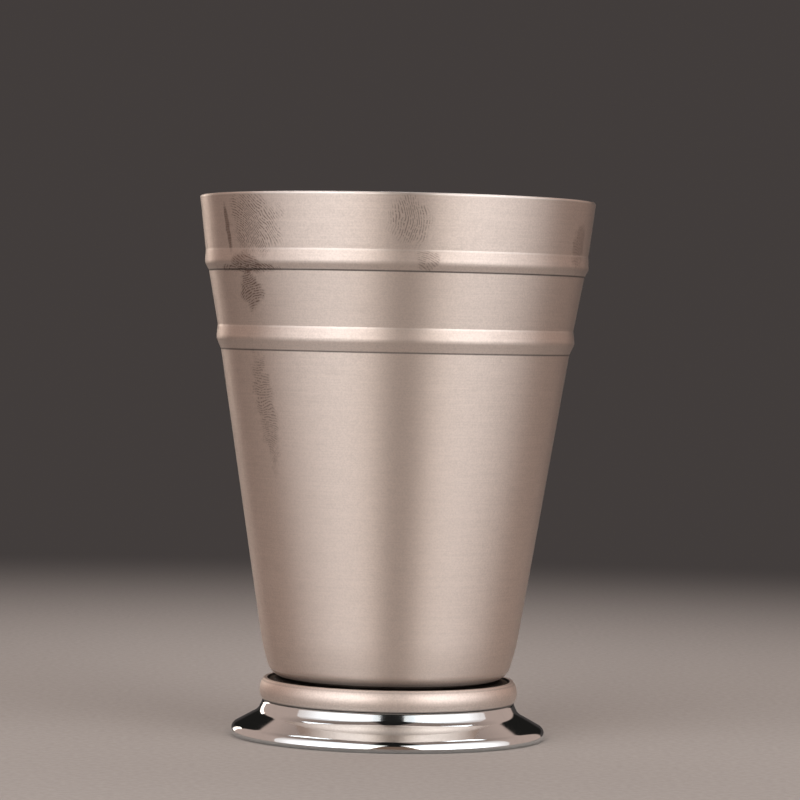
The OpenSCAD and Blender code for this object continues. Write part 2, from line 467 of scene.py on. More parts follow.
def build_grain_group() -> bpy.types.NodeTree:
    """Builds the fine lines that a lathe or a belt leaves round a turned piece.

    The noise is read at (x, y) of the direction from the axis, which changes slowly round the
    piece, and at the position along the outline, which changes fast, so it is drawn out into
    lines that close on themselves with no seam. An even speckle is mixed in.

    Returns:
        The group, with the height of the lines and their shade from 0 to 1.
    """

    def fill(g: Graph, given: dict[str, Socket]) -> dict[str, Socket]:
        """Adds the nodes.

        Args:
            g: The group's graph.
            given: The group's inputs.

        Returns:
            The group's outputs.
        """
        flat = g.vector("MULTIPLY", given["Place"], (1, 1, 0)).outputs[0]
        swing = g.scaled(g.vector("NORMALIZE", flat).outputs[0], given["Streaks"])
        heights = []
        for share in (1.0, COARSE_LINES):
            depth = g.math("MULTIPLY", given["Position"], g.math("MULTIPLY", given["Lines"], share))
            lift = g.node("ShaderNodeCombineXYZ", None, {"Z": depth}).outputs[0]
            heights.append(g.noise(g.vector("ADD", swing, lift).outputs[0], 1.0, detail=3.0, rough=0.6))
        fine, coarse = heights
        coarse_part = g.math("MULTIPLY", coarse, 1 - FINE_SHARE)
        lines = g.math("ADD", g.math("MULTIPLY", fine, FINE_SHARE), coarse_part)
        speck = g.noise(given["Place"], SPECKLE_SCALE, detail=2.0, rough=0.6)
        mixed = g.node("ShaderNodeMix", {"data_type": "FLOAT"},
                       {"Factor": given["Speckle"], "A": lines, "B": speck})
        height = mixed.outputs["Result"]
        return {"Height": height, "Shade": g.smooth(height, *SHADE_RANGE)}

    inputs = {"Place": (0.0, 0.0, 0.0), "Position": 0.0, "Lines": 6.0, "Streaks": 3.0, "Speckle": 0.0}
    return group("turned_grain", inputs, {"Height": "NodeSocketFloat", "Shade": "NodeSocketFloat"}, fill)


# Distance between fingerprint ridges, how far they are bent, and the way from the point that they
# curve round to the middle of the mark, in millimetres
RIDGE_PITCH, RIDGE_BEND, RIDGE_OFFSET = 0.52, 4.0, (3.0, 13.0, 0.0)
# Scales in 1/mm of the noises that bend the ridges, break them up and break up a patch's edge
BEND_NOISE, GAP_NOISE, EDGE_NOISE = 0.12, 1.6, 0.35
# How much of a patch's size its uneven edge takes up
PATCH_BREAK = 1.3


def build_mark_group() -> bpy.types.NodeTree:
    """Builds one touch mark: an oval patch with a broken edge, crossed by fingerprint ridges.

    The ridges are a sine of the distance from a point below the patch, bent by a slow noise. Place
    holds the distance round the cup and the height, both in millimetres.

    Returns:
        The group, with the mark's mask.
    """

    def fill(g: Graph, given: dict[str, Socket]) -> dict[str, Socket]:
        """Adds the nodes.

        Args:
            g: The group's graph.
            given: The group's inputs.

        Returns:
            The group's outputs.
        """
        away = g.vector("SUBTRACT", given["Place"], given["Centre"]).outputs[0]
        spun = g.node("ShaderNodeVectorRotate", {"rotation_type": "Z_AXIS"},
                      {"Vector": away, "Angle": given["Turn"]}).outputs[0]
        oval = g.vector("LENGTH", g.vector("DIVIDE", spun, given["Size"]).outputs[0]).outputs["Value"]
        uneven = g.math("SUBTRACT", g.noise(given["Place"], EDGE_NOISE, detail=3.0, rough=0.6), 0.5)
        reach = g.math("ADD", oval, g.math("MULTIPLY", uneven, PATCH_BREAK))
        patch = g.smooth(reach, 0.55, 1.0, (1.0, 0.0))
        bend = g.math("MULTIPLY", g.noise(given["Place"], BEND_NOISE), RIDGE_BEND)
        core = g.vector("ADD", spun, RIDGE_OFFSET).outputs[0]
        wave = g.math("ADD", g.vector("LENGTH", core).outputs["Value"], bend)
        ridge = g.math("SINE", g.math("MULTIPLY", wave, 2 * math.pi / RIDGE_PITCH))
        broken = g.smooth(g.noise(given["Place"], GAP_NOISE), 0.38, 0.52)
        skin = g.math("MULTIPLY", g.smooth(ridge, 0.0, 0.7), broken)
        lined = g.math("ADD", g.math("MULTIPLY", g.math("SUBTRACT", skin, 1.0), given["Ridges"]), 1.0)
        return {"Mask": g.math("MULTIPLY", g.math("MULTIPLY", patch, lined), given["Strength"])}

    inputs = {"Place": (0.0, 0.0, 0.0), "Centre": (0.0, 0.0, 0.0), "Size": (5.0, 7.0, 1.0), "Turn": 0.0,
              "Ridges": 0.5, "Strength": 0.5}
    return group("touch_mark", inputs, {"Mask": "NodeSocketFloat"}, fill)


# Radius in millimetres that takes in the whole cup, and how fast a band ends at its own radius
WHOLE_CUP, BAND_END = 100.0, 8.0
# Scale in 1/m of the noise that breaks up a band's edges
BAND_NOISE = 500.0


def build_band_group() -> bpy.types.NodeTree:
    """Builds a mask that is 1 over a range of heights, inside a radius, and fades over a short way.

    Returns:
        The group, with the mask.
    """

    def fill(g: Graph, given: dict[str, Socket]) -> dict[str, Socket]:
        """Adds the nodes.

        Args:
            g: The group's graph.
            given: The group's inputs.

        Returns:
            The group's outputs.
        """
        height = g.math("MULTIPLY", g.split(given["Place"])["Z"], 1 / MM)
        off = g.math("ABSOLUTE", g.math("SUBTRACT", height, given["Middle"]))
        past = g.math("DIVIDE", g.math("SUBTRACT", off, given["Reach"]), given["Fade"], clamp=True)
        uneven = g.math("SUBTRACT", g.noise(given["Place"], BAND_NOISE, detail=3.0), 0.5)
        broken = g.math("MULTIPLY", uneven, given["Break"])
        flat = g.vector("MULTIPLY", given["Place"], (1 / MM, 1 / MM, 0)).outputs[0]
        radius = g.vector("LENGTH", flat).outputs["Value"]
        inside = g.math("MULTIPLY", g.math("SUBTRACT", given["Within"], radius), BAND_END, clamp=True)
        spread = g.math("SUBTRACT", 1.0, g.math("ADD", past, broken), clamp=True)
        return {"Mask": g.math("MULTIPLY", spread, inside)}

    inputs = {"Place": (0.0, 0.0, 0.0), "Middle": 0.0, "Reach": 1.0, "Fade": 0.5, "Break": 0.0,
              "Within": WHOLE_CUP}
    return group("height_band", inputs, {"Mask": "NodeSocketFloat"}, fill)


@dataclass(frozen=True)
class Effects:
    """Node groups that the finishes share.

    Attributes:
        grain: Fine lines round a turned piece.
        mark: One touch mark.
        band: Mask over a range of heights.
    """

    grain: bpy.types.NodeTree
    mark: bpy.types.NodeTree
    band: bpy.types.NodeTree

    @classmethod
    def build(cls) -> "Effects":
        """Builds the three groups."""
        return cls(build_grain_group(), build_mark_group(), build_band_group())


@dataclass(frozen=True)
class TouchMark:
    """Where the satin cup has been touched.

    Attributes:
        azimuth: Degrees round the cup from the camera's side towards +X.
        height: Height of the middle, in millimetres.
        width: Half width in millimetres.
        tall: Half height in millimetres.
        turn: How far the mark is turned, in degrees.
        ridges: How deep the fingerprint ridges cut into the mark, from 0 to 1.
        strength: How strong the mark is, from 0 to 1.
    """

    azimuth: float
    height: float
    width: float
    tall: float
    turn: float
    ridges: float
    strength: float


# Each with its azimuth, height, half width, half height, turn, ridges and strength
TOUCH_MARKS = (
    TouchMark(-46.0, 110.5, 9.0, 7.5, 30.0, 0.95, 0.75),
    TouchMark(-50.0, 102.0, 6.0, 2.5, 10.0, 0.6, 0.85),
    TouchMark(-50.0, 96.5, 4.5, 4.5, -30.0, 0.7, 0.95),
    TouchMark(-50.0, 101.1, 13.0, 1.1, 0.0, 0.7, 1.0),
    TouchMark(-58.5, 109.5, 0.9, 6.5, -8.0, 0.3, 0.8),
    TouchMark(3.5, 111.3, 6.2, 5.0, 80.0, 0.95, 0.6),
    TouchMark(9.0, 103.0, 3.0, 2.6, 20.0, 0.7, 0.6),
    TouchMark(-49.0, 72.0, 4.0, 14.0, -8.0, 0.8, 0.6),
    TouchMark(68.0, 107.0, 4.0, 6.0, 10.0, 0.5, 0.5),
)
# Radius in millimetres at which the marks' widths are measured
TOUCH_RADIUS = 40.0


@dataclass(frozen=True)
class Band:
    """Line round a piece where its colour and roughness differ: a band of painted highlight, or of painted
    shade that is partly dirt.

    Attributes:
        middle: Height of its middle in millimetres.
        reach: How far it reaches up and down at full strength, in millimetres.
        strength: How strong it is, from 0 to 1.
        within: Radius in millimetres outside which it stops.
    """

    middle: float
    reach: float
    strength: float = 1.0
    within: float = WHOLE_CUP


# Colours of painted shade in grooves, joints and creases (partly dirt in the bead creases), of touched steel,
# and of painted highlights on edges and crests
SHADE_AND_GRIME: Color = (0.012, 0.009, 0.007, 1.0)
SMEAR: Color = (0.22, 0.145, 0.115, 1.0)
PAINTED_HIGHLIGHT: Color = (0.82, 0.745, 0.69, 1.0)
# How far the painted highlights and the painted shade fade out, in millimetres, and how uneven the shade's
# edges are
HIGHLIGHT_FADE, SHADE_AND_GRIME_FADE, SHADE_AND_GRIME_BREAK = 0.15, 0.2, 0.15


@dataclass(frozen=True)
class Finish:
    """What the finishes share.

    Attributes:
        name: Name of the material.
        color: Base colour.
        roughness: Base roughness.
    """

    name: str
    color: Color
    roughness: float

    def start(self) -> tuple[bpy.types.Material, Graph, bpy.types.Node]:
        """Makes a material that holds only its shader.

        Returns:
            The material, its graph and its Principled shader.
        """
        material = bpy.data.materials.new(self.name)
        material.use_nodes = True
        material.node_tree.nodes.clear()
        graph = Graph(material.node_tree)
        shader = graph.node("ShaderNodeBsdfPrincipled", None,
                            {"Base Color": self.color, "Roughness": self.roughness})
        graph.node("ShaderNodeOutputMaterial", None, {"Surface": shader.outputs[0]})
        return material, graph, shader

    def shade(self, share: float) -> Color:
        """Returns the base colour times a share."""
        return tuple(min(1.0, c * share) for c in self.color[:3]) + (1.0,)

    @staticmethod
    def cover(g: Graph, effects: Effects, place: Socket, bands: tuple[Band, ...], fade: float,
              broken: float) -> Socket | float:
        """Adds some bands and takes the strongest of them at each spot.

        Args:
            g: The material's graph.
            effects: The shared node groups.
            place: Object coordinates.
            bands: The bands.
            fade: How far they fade out, in millimetres.
            broken: How uneven their edges are.

        Returns:
            The mask, or 0 where there are no bands.
        """
        mask: Socket | float = 0.0
        for band in bands:
            one = g.effect(effects.band, {"Place": place, "Middle": band.middle, "Reach": band.reach,
                                          "Fade": fade, "Break": broken, "Within": band.within})
            mask = g.math("MAXIMUM", g.math("MULTIPLY", one.outputs["Mask"], band.strength), mask)
        return mask


@dataclass(frozen=True)
class SatinSteel(Finish):
    """Steel brushed round the piece.

    Attributes:
        outline_length: Length in millimetres that the outline counts for, which spaces the lines.
        anisotropy: How much the finish spreads light along the outline.
        bump: Strength of the brush lines.
        marks: Where the piece has been touched.
        highlight_bands: Bands of painted highlight, lighter and smoother.
        shade_and_grime_bands: Bands darkened as painted shade in grooves and joints, partly dirt in creases.
        lines: Brush lines to a millimetre of the outline.
        streaks: How much the lines change round the piece.
        speckle: Share of even speckle among the lines.
        shades: Darkest and lightest line, as shares of the base colour.
        line_roughness: How much smoother the lightest line is than the darkest.
        highlight_roughness: How much smoother the painted highlights are.
        shade_and_grime_roughness: How much rougher the painted shade and dirt are.
    """

    outline_length: float
    anisotropy: float
    bump: float = 0.06
    marks: tuple[TouchMark, ...] = ()
    highlight_bands: tuple[Band, ...] = ()
    shade_and_grime_bands: tuple[Band, ...] = ()
    lines: float = 5.0
    streaks: float = 3.0
    speckle: float = 0.55
    shades: tuple[float, float] = (0.92, 1.06)
    line_roughness: float = 0.05
    highlight_roughness: float = 0.08
    shade_and_grime_roughness: float = 0.3

    def touch(self, g: Graph, effects: Effects, place: Socket) -> Socket:
        """Adds the touch marks, on the outside only, and takes the strongest of them at each spot.

        Args:
            g: The material's graph.
            effects: The shared node groups.
            place: Object coordinates.

        Returns:
            The mask, from 0 to 1.
        """
        xyz = g.split(place)
        azimuth = g.math("ARCTAN2", xyz["X"], g.math("MULTIPLY", xyz["Y"], -1.0))
        spot = g.node("ShaderNodeCombineXYZ", None, {
            "X": g.math("MULTIPLY", azimuth, TOUCH_RADIUS), "Y": g.math("MULTIPLY", xyz["Z"], 1 / MM)})
        mask: Socket | float = 0.0
        for mark in self.marks:
            centre = (math.radians(mark.azimuth) * TOUCH_RADIUS, mark.height, 0.0)
            one = g.effect(effects.mark, {
                "Place": spot.outputs[0], "Centre": centre, "Size": (mark.width, mark.tall, 1.0),
                "Turn": math.radians(mark.turn), "Ridges": mark.ridges, "Strength": mark.strength})
            mask = g.math("MAXIMUM", one.outputs["Mask"], mask)
        outward = g.vector("MULTIPLY", place, (1, 1, 0)).outputs[0]
        normal = g.node("ShaderNodeNewGeometry").outputs["Normal"]
        outside = g.math("GREATER_THAN", g.vector("DOT_PRODUCT", normal, outward).outputs["Value"], 0.0)
        return g.math("MULTIPLY", mask, outside)

    def material(self, effects: Effects) -> bpy.types.Material:
        """Builds the material.

        Args:
            effects: The shared node groups.

        Returns:
            The material.
        """
        material, g, shader = self.start()
        coords = g.node("ShaderNodeTexCoord")
        place = coords.outputs["Object"]
        along = g.math("MULTIPLY", g.split(coords.outputs["UV"])["X"], self.outline_length)
        brushed = g.effect(effects.grain, {"Place": place, "Position": along, "Lines": self.lines,
                                           "Streaks": self.streaks, "Speckle": self.speckle}).outputs
        touch = self.touch(g, effects, place)
        highlight_mask = self.cover(g, effects, place, self.highlight_bands, HIGHLIGHT_FADE, 0.0)
        shade_and_grime = self.cover(g, effects, place, self.shade_and_grime_bands, SHADE_AND_GRIME_FADE, SHADE_AND_GRIME_BREAK)
        links = material.node_tree.links
        dark, light = (self.shade(share) for share in self.shades)
        color = g.blend(brushed["Shade"], dark, light)
        color = g.blend(touch, color, SMEAR)
        # Painted highlight: the bands on the rim, the heel and the bead tops get a lighter colour
        color = g.blend(highlight_mask, color, PAINTED_HIGHLIGHT)
        # Painted shade: near-black colour in the bands at grooves, joints and creases; in the body's bead
        # creases it is partly dirt
        color = g.blend(shade_and_grime, color, SHADE_AND_GRIME)
        links.new(color, shader.inputs["Base Color"])
        smoother = g.math("MULTIPLY", brushed["Shade"], -self.line_roughness)
        rough = g.math("ADD", smoother, self.roughness + self.line_roughness / 2)
        rough = g.math("SUBTRACT", rough, g.math("MULTIPLY", highlight_mask, self.highlight_roughness))
        rough = g.math("ADD", rough, g.math("MULTIPLY", shade_and_grime, self.shade_and_grime_roughness), clamp=True)
        links.new(rough, shader.inputs["Roughness"])
        links.new(g.bump(brushed["Height"], self.bump), shader.inputs["Normal"])
        tangent = g.node("ShaderNodeTangent", {"direction_type": "UV_MAP", "uv_map": "turned"})
        links.new(tangent.outputs[0], shader.inputs["Tangent"])
        shader.inputs["Metallic"].default_value = 1.0
        shader.inputs["Anisotropic"].default_value = self.anisotropy
        return material


@dataclass(frozen=True)
class MirrorSteel(Finish):
    """Steel polished to a mirror, with faint turned lines.

    Attributes:
        outline_length: Length in millimetres that the outline counts for, which spaces the lines.
        bump: Strength of the turned lines.
        shade_and_grime_bands: Bands darkened as painted shade.
        lines: Turned lines to a millimetre of the outline.
        streaks: How much the lines change round the piece.
        line_roughness: How much rougher the lines are than the mirror.
        shade_and_grime_roughness: How much rougher the painted shade is.
    """

    outline_length: float
    bump: float = 0.015
    shade_and_grime_bands: tuple[Band, ...] = ()
    lines: float = 3.0
    streaks: float = 1.5
    line_roughness: float = 0.03
    shade_and_grime_roughness: float = 0.5

    def material(self, effects: Effects) -> bpy.types.Material:
        """Builds the material.

        Args:
            effects: The shared node groups.

        Returns:
            The material.
        """
        material, g, shader = self.start()
        coords = g.node("ShaderNodeTexCoord").outputs
        along = g.math("MULTIPLY", g.split(coords["UV"])["X"], self.outline_length)
        turned_lines = g.effect(effects.grain, {"Place": coords["Object"], "Position": along,
                                                "Lines": self.lines, "Streaks": self.streaks}).outputs
        shade_and_grime = self.cover(g, effects, coords["Object"], self.shade_and_grime_bands, SHADE_AND_GRIME_FADE, SHADE_AND_GRIME_BREAK)
        links = material.node_tree.links
        # Painted shade: near-black colour in the band on the foot's upper neck and platform
        links.new(g.blend(shade_and_grime, self.color, SHADE_AND_GRIME), shader.inputs["Base Color"])
        dark_bands = g.math("ADD", g.math("MULTIPLY", shade_and_grime, self.shade_and_grime_roughness), self.roughness)
        rough = g.math("ADD", g.math("MULTIPLY", turned_lines["Shade"], self.line_roughness), dark_bands)
        links.new(rough, shader.inputs["Roughness"])
        links.new(g.bump(turned_lines["Height"], self.bump), shader.inputs["Normal"])
        shader.inputs["Metallic"].default_value = 1.0
        return material


@dataclass(frozen=True)
class BrazeFiller(Finish):
    """Dull filler metal, as it sets in the joint.

    Attributes:
        dark: Darkest spots, as a share of the base colour.
        mottle_scale: Scale of the spots, in 1/m.
        lump_scale: Scale of the lumps, in 1/m.
        bump: Strength of the lumps.
        roughness_span: How far the roughness goes below and above its base.
    """

    dark: float = 0.6
    mottle_scale: float = 900.0
    lump_scale: float = 2500.0
    bump: float = 0.3
    roughness_span: tuple[float, float] = (0.08, 0.12)

    def material(self) -> bpy.types.Material:
        """Builds the material: a mottled colour and a lumpy surface read from Object coordinates.

        Returns:
            The material.
        """
        material, g, shader = self.start()
        place = g.node("ShaderNodeTexCoord").outputs["Object"]
        mottle = g.noise(place, self.mottle_scale, detail=4.0, rough=0.6)
        below, above = self.roughness_span
        links = material.node_tree.links
        links.new(g.blend(mottle, self.shade(self.dark), self.color), shader.inputs["Base Color"])
        rough = g.smooth(mottle, 0.3, 0.7, (self.roughness - below, self.roughness + above))
        links.new(rough, shader.inputs["Roughness"])
        lumps = g.noise(place, self.lump_scale, detail=3.0)
        links.new(g.bump(lumps, self.bump), shader.inputs["Normal"])
        shader.inputs["Metallic"].default_value = 1.0
        return material


class Steps(Enum):
    """How many steps a piece has round its axis."""

    BODY = 320
    RING = 384


@dataclass
class CupBody:
    """Drawn cup, with the sizes of its sheet in millimetres and degrees.

    Attributes:
        rim_d: Outside diameter of the rim.
        cup_h: Height of the rim above the table.
        wall_t: Thickness of the sheet.
        top_taper: Taper of the band above the upper bead.
        middle_taper: Taper of the band between the beads.
        tuck_out: How much wider the wall's radius is at the tuck than at the bottom's sharp corner.
        tuck_h: Height of the tuck above the bottom.
        tuck_r: Radius of the tuck.
        base_r: Radius of the bottom's sharp corner.
        bottom_h: Height of the bottom above the table.
        heel_r: Inside radius of the heel.
        top_band_h: Height of the plain band above the upper bead.
        upper_bead_h: Height of the upper bead.
        middle_band_h: Height of the plain band between the beads.
        lower_bead_h: Height of the lower bead.
        bead_step: How much narrower the wall's radius is below a bead than above it.
        upper_bead_out: How far the upper bead's sharp crown stands out.
        lower_bead_out: How far the lower bead's sharp crown stands out.
        upper_crown_share: Where the upper bead's crown lies, from its lower to its upper crease.
        lower_crown_share: Where the lower bead's crown lies, from its lower to its upper crease.
        crown_r: Radius of the beads' crowns.
        crease_r: Radius of the creases above and below the beads.
        heel_line_up: How far above the bottom a painted highlight runs round the heel.
        bead_line_down: How far below a bead's upper crease a painted highlight runs.
        shade_line_down: How far below the bottom the middle of the painted shade on the underside lies.
    """

    rim_d: float = 86.0
    cup_h: float = 117.0
    wall_t: float = 0.8
    top_taper: float = 6.7
    middle_taper: float = 10.3
    tuck_out: float = 2.05
    tuck_h: float = 6.5
    tuck_r: float = 45.0
    base_r: float = 25.55
    bottom_h: float = 12.75
    heel_r: float = 3.1
    top_band_h: float = 11.75
    upper_bead_h: float = 4.5
    middle_band_h: float = 11.75
    lower_bead_h: float = 5.2
    bead_step: float = 0.79
    upper_bead_out: float = 0.6
    lower_bead_out: float = 0.7
    upper_crown_share: float = 0.38
    lower_crown_share: float = 0.48
    crown_r: float = 2.0
    crease_r: float = 0.4
    heel_line_up: float = 1.8
    bead_line_down: float = 0.2
    shade_line_down: float = 0.1

    def path(self) -> BentPath:
        """Lays out the outside of the cup, from the axis out along the bottom and up to the rim.

        A band's radius falls by its height times the tangent of its taper. The wall ends where the
        rim's half round, as wide as the sheet is thick, takes over.

        Returns:
            The path, with the sheet to its left.
        """
        taper, middle = math.radians(self.top_taper), math.radians(self.middle_taper)
        cap = self.wall_t / 2
        rim_r = self.rim_d / 2
        rim_edge = np.array([rim_r - cap * (1 - math.cos(taper)), self.cup_h - cap * (1 + math.sin(taper))])
        upper_top = np.array([rim_r - self.top_band_h * math.tan(taper), self.cup_h - self.top_band_h])
        upper_low = upper_top - [self.bead_step, self.upper_bead_h]
        lower_top = upper_low - [self.middle_band_h * math.tan(middle), self.middle_band_h]
        lower_low = lower_top - [self.bead_step, self.lower_bead_h]
        corners = np.array([
            [0, self.bottom_h],
            [self.base_r, self.bottom_h],
            [self.base_r + self.tuck_out, self.bottom_h + self.tuck_h],
            lower_low,
            crown_corner(lower_low, lower_top, self.lower_bead_out, self.lower_crown_share),
            lower_top,
            upper_low,
            crown_corner(upper_low, upper_top, self.upper_bead_out, self.upper_crown_share),
            upper_top,
            rim_edge,
        ])
        bends = [0, self.heel_r + self.wall_t, self.tuck_r, self.crease_r, self.crown_r, self.crease_r,
                 self.crease_r, self.crown_r, self.crease_r, 0]
        return BentPath(corners, bends)

    def outline(self) -> Outline:
        """Draws the section of the sheet: outside, rounded rim and inside.

        Returns:
            The section, which starts and ends on the axis.
        """
        path = self.path()
        outside, inside = path.line(0.0), path.line(self.wall_t)
        cap = half_round(outside.points[-1], inside.points[-1], count=17)
        return outside.then(cap).then(inside.reversed())

    def build(self) -> bpy.types.Object:
        """Builds the cup's mesh."""
        return revolve("satin_cup_body", self.outline(), Steps.BODY.value, ring=False)

    def dress(self, piece: bpy.types.Object, effects: Effects) -> None:
        """Gives the cup its satin finish and its place in the assembly.

        Args:
            piece: The cup's object.
            effects: The shared node groups.
        """
        pts = self.outline().points
        length = float(np.hypot(*np.diff(pts, axis=0).T).sum())
        upper_top = self.cup_h - self.top_band_h
        upper_low = upper_top - self.upper_bead_h
        lower_top = upper_low - self.middle_band_h
        lower_low = lower_top - self.lower_bead_h
        # Painted highlights, with a smoother roughness, on the rim, the heel and the tops of the two beads
        painted_highlights = (Band(self.cup_h, 0.5), Band(self.bottom_h + self.heel_line_up, 0.12),
                    Band(upper_top - self.bead_line_down, 0.1, 0.5),
                    Band(lower_top - self.bead_line_down, 0.1, 0.5))
        # Painted shade on the underside, in the groove above the collar, and in the creases below the two
        # beads, where it is partly dirt
        dark_bands = (Band(self.bottom_h - self.shade_line_down, 0.25), Band(upper_low, 0.05, 0.8),
                 Band(lower_low, 0.05, 0.7))
        finish = SatinSteel("satin_steel", color=(0.77, 0.668, 0.6, 1.0), roughness=0.48,
                            outline_length=length, anisotropy=0.72, marks=TOUCH_MARKS,
                            highlight_bands=painted_highlights, shade_and_grime_bands=dark_bands)
        piece.data.materials.append(finish.material(effects))
        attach(piece, "root")
        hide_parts("cup_body")


@dataclass
class Foot:
    """Pressed pedestal foot, with the sizes of its sheet in millimetres.

    Attributes:
        foot_d: Outside diameter of the foot.
        foot_t: Thickness of the sheet.
        hem_r: Inside radius of the rolled edge.
        lip_r: Inside radius of the bend from the rolled edge to the lip.
        lip_w: Width of the flat lip on the table, from the rolled edge inwards.
        cove_out_share: Where the cove's sharp corner lies, from the shoulder out to the edge.
        cove_up_share: How high the cove's sharp corner lies, from the table up to the shoulder.
        cove_r: Radius of the cove.
        shoulder_r: Inside radius of the shoulder's edge.
        shoulder_out: Radius of the shoulder's sharp edge.
        shoulder_h: Height of the shoulder.
        neck_r: Outside radius of the neck.
        neck_root_r: Radius of the bend from the shoulder to the neck.
        platform_h: Height of the platform that carries the body.
        platform_r: Inside radius of the platform's edge.
        hole_r: Radius of the hole in the platform.
        bend_step: Largest turn between two points of a bend, in degrees.
    """

    foot_d: float = 68.8
    foot_t: float = 0.7
    hem_r: float = 1.5
    lip_r: float = 0.1
    lip_w: float = 2.0
    cove_out_share: float = 0.18
    cove_up_share: float = 0.67
    cove_r: float = 3.0
    shoulder_r: float = 0.3
    shoulder_out: float = 27.3
    shoulder_h: float = 7.9
    neck_r: float = 25.4
    neck_root_r: float = 0.5
    platform_h: float = 12.5
    platform_r: float = 0.5
    hole_r: float = 15.0
    bend_step: float = 4.0

    def path(self) -> BentPath:
        """Lays out the top of the foot, from the lip on the table over the rolled edge to the platform.

        The flange touches the rolled edge's arc and runs to the cove's corner. Its angle is that of
        the line from the arc's centre to this corner, plus the angle whose sine is the arc's radius
        over that line's length.

        Returns:
            The path, with the sheet to its left.
        """
        foot_r = self.foot_d / 2
        hem, lip, platform = self.hem_r + self.foot_t, self.lip_r + self.foot_t, self.platform_r + self.foot_t
        cove = np.array([self.shoulder_out + (foot_r - self.shoulder_out) * self.cove_out_share,
                         self.shoulder_h * self.cove_up_share])
        run = cove - [foot_r - hem, lip]
        angle = math.atan2(run[1], run[0]) + math.asin(hem / float(np.hypot(*run)))
        hem_top = [foot_r, cove[1] + (foot_r - cove[0]) * math.tan(angle)]
        corners = np.array([
            [foot_r - hem - self.lip_w, 0],
            [foot_r, 0],
            hem_top,
            cove,
            [self.shoulder_out, self.shoulder_h],
            [self.neck_r, self.shoulder_h],
            [self.neck_r, self.platform_h],
            [self.hole_r, self.platform_h],
        ])
        bends = [0, lip, hem, self.cove_r, self.shoulder_r + self.foot_t, self.neck_root_r, platform, 0]
        return BentPath(corners, bends, self.bend_step)

    def outline(self) -> Outline:
        """Returns the section of the sheet, as a loop: its top and its underside, with square edges."""
        path = self.path()
        return path.line(0.0).then(path.line(self.foot_t).reversed())

    def build(self) -> bpy.types.Object:
        """Builds the foot's mesh."""
        return revolve("polished_foot", self.outline(), Steps.RING.value, ring=True)

    def dress(self, piece: bpy.types.Object, effects: Effects) -> None:
        """Gives the foot its mirror polish and its place in the assembly.

        Args:
            piece: The foot's object.
            effects: The shared node groups.
        """
        # Painted shade on the upper neck and the platform, down in the groove between the collar and the body
        dark_bands = (Band(self.platform_h, 2.0),)
        finish = MirrorSteel("polished_steel", color=(0.77, 0.815, 0.83, 1.0), roughness=0.05,
                             outline_length=60.0, shade_and_grime_bands=dark_bands)
        piece.data.materials.append(finish.material(effects))
        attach(piece, "root")
        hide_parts("foot")


@dataclass
class Collar:
    """Half-round ring on the foot's shoulder, with its sizes in millimetres.

    Attributes:
        low_h: Height of its underside.
        height: Its own height.
        top_r: Outside radius at its top.
        spread: How much wider its radius is at the bottom than at the top.
        bulge: How far its face stands out from the line between its edges.
        edge_r: Radius of its two outer edges.
        bore_r: Radius of its bore.
        chamfer: Size of the chamfer that holds the filler.
        relief: Size of the chamfer that clears the root of the neck.
        shade_past: How far the painted shade round the filler reaches past the chamfer.
        shade_line_down: How far below its top a line of painted shade runs round it.
    """

    low_h: float = 7.9
    height: float = 4.55
    top_r: float = 27.15
    spread: float = 0.35
    bulge: float = 0.7
    edge_r: float = 0.25
    bore_r: float = 25.45
    chamfer: float = 0.8
    relief: float = 0.6
    shade_past: float = 0.3
    shade_line_down: float = 0.45

    def path(self) -> BentPath:
        """Lays out the section of the ring, from the top of the bore down and round the face.

        Returns:
            The path, as a loop.
        """
        low = np.array([self.top_r + self.spread, self.low_h])
        top = np.array([self.top_r, self.low_h + self.height])
        corners = np.array([
            [self.bore_r, top[1] - self.chamfer],
            [self.bore_r, self.low_h + self.relief],
            [self.bore_r + self.relief, self.low_h],
            low,
            bulge_corner(low, top, self.bulge),
            top,
            [self.bore_r + self.chamfer, top[1]],
        ])
        bends = [0, 0, 0, self.edge_r, bulge_radius(low, top, self.bulge), self.edge_r, 0]
        return BentPath(corners, bends)

    def build(self) -> bpy.types.Object:
        """Builds the ring's mesh."""
        return revolve("satin_collar", self.path().line(), Steps.RING.value, ring=True)

    def dress(self, piece: bpy.types.Object, effects: Effects) -> None:
        """Gives the ring its satin finish and its place in the assembly.

        Args:
            piece: The ring's object.
            effects: The shared node groups.
        """
        top = self.low_h + self.height
        # Painted shade round the filler in the groove under the body, along a line under the top edge that
        # stands in for the shade of a small step, and along the seat on the foot
        dark_bands = (Band(top, 2.0, within=self.bore_r + self.chamfer + self.shade_past),
                 Band(top - self.shade_line_down, 0.06, 0.2), Band(self.low_h, 0.1, 0.5))
        finish = SatinSteel("collar_steel", color=(0.74, 0.64, 0.575, 1.0), roughness=0.49,
                            outline_length=14.0, anisotropy=0.4, shade_and_grime_bands=dark_bands)
        piece.data.materials.append(finish.material(effects))
        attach(piece, "root")
        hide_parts("foot_collar")


def axes_matrix(x_axis: np.ndarray, y_axis: np.ndarray, z_axis: np.ndarray, place: np.ndarray) -> Matrix:
    """Returns the matrix that puts an object at a place with its three axes along given ones."""
    columns = np.stack([x_axis, y_axis, z_axis, place], 1)
    return Matrix(np.concatenate([columns, [[0.0, 0.0, 0.0, 1.0]]]).tolist())


class Fade(Enum):
    """Edge towards which a lamp fades, as it lies in the picture."""

    NONE = "none"
    LEFT = "left"
    RIGHT = "right"


# Point in metres that every lamp faces
LAMP_TARGET = np.array([0.0, 0.0, 0.06])
# Parts of a lamp over which its light changes: of the width, from the edge towards which it fades,
# for its strength and its tint, and of the height, from the bottom, for its strength
SIDE_FADE, SIDE_TINT, TOP_FADE = (0.0, 0.75), (0.7, 1.0), (0.45, 1.0)


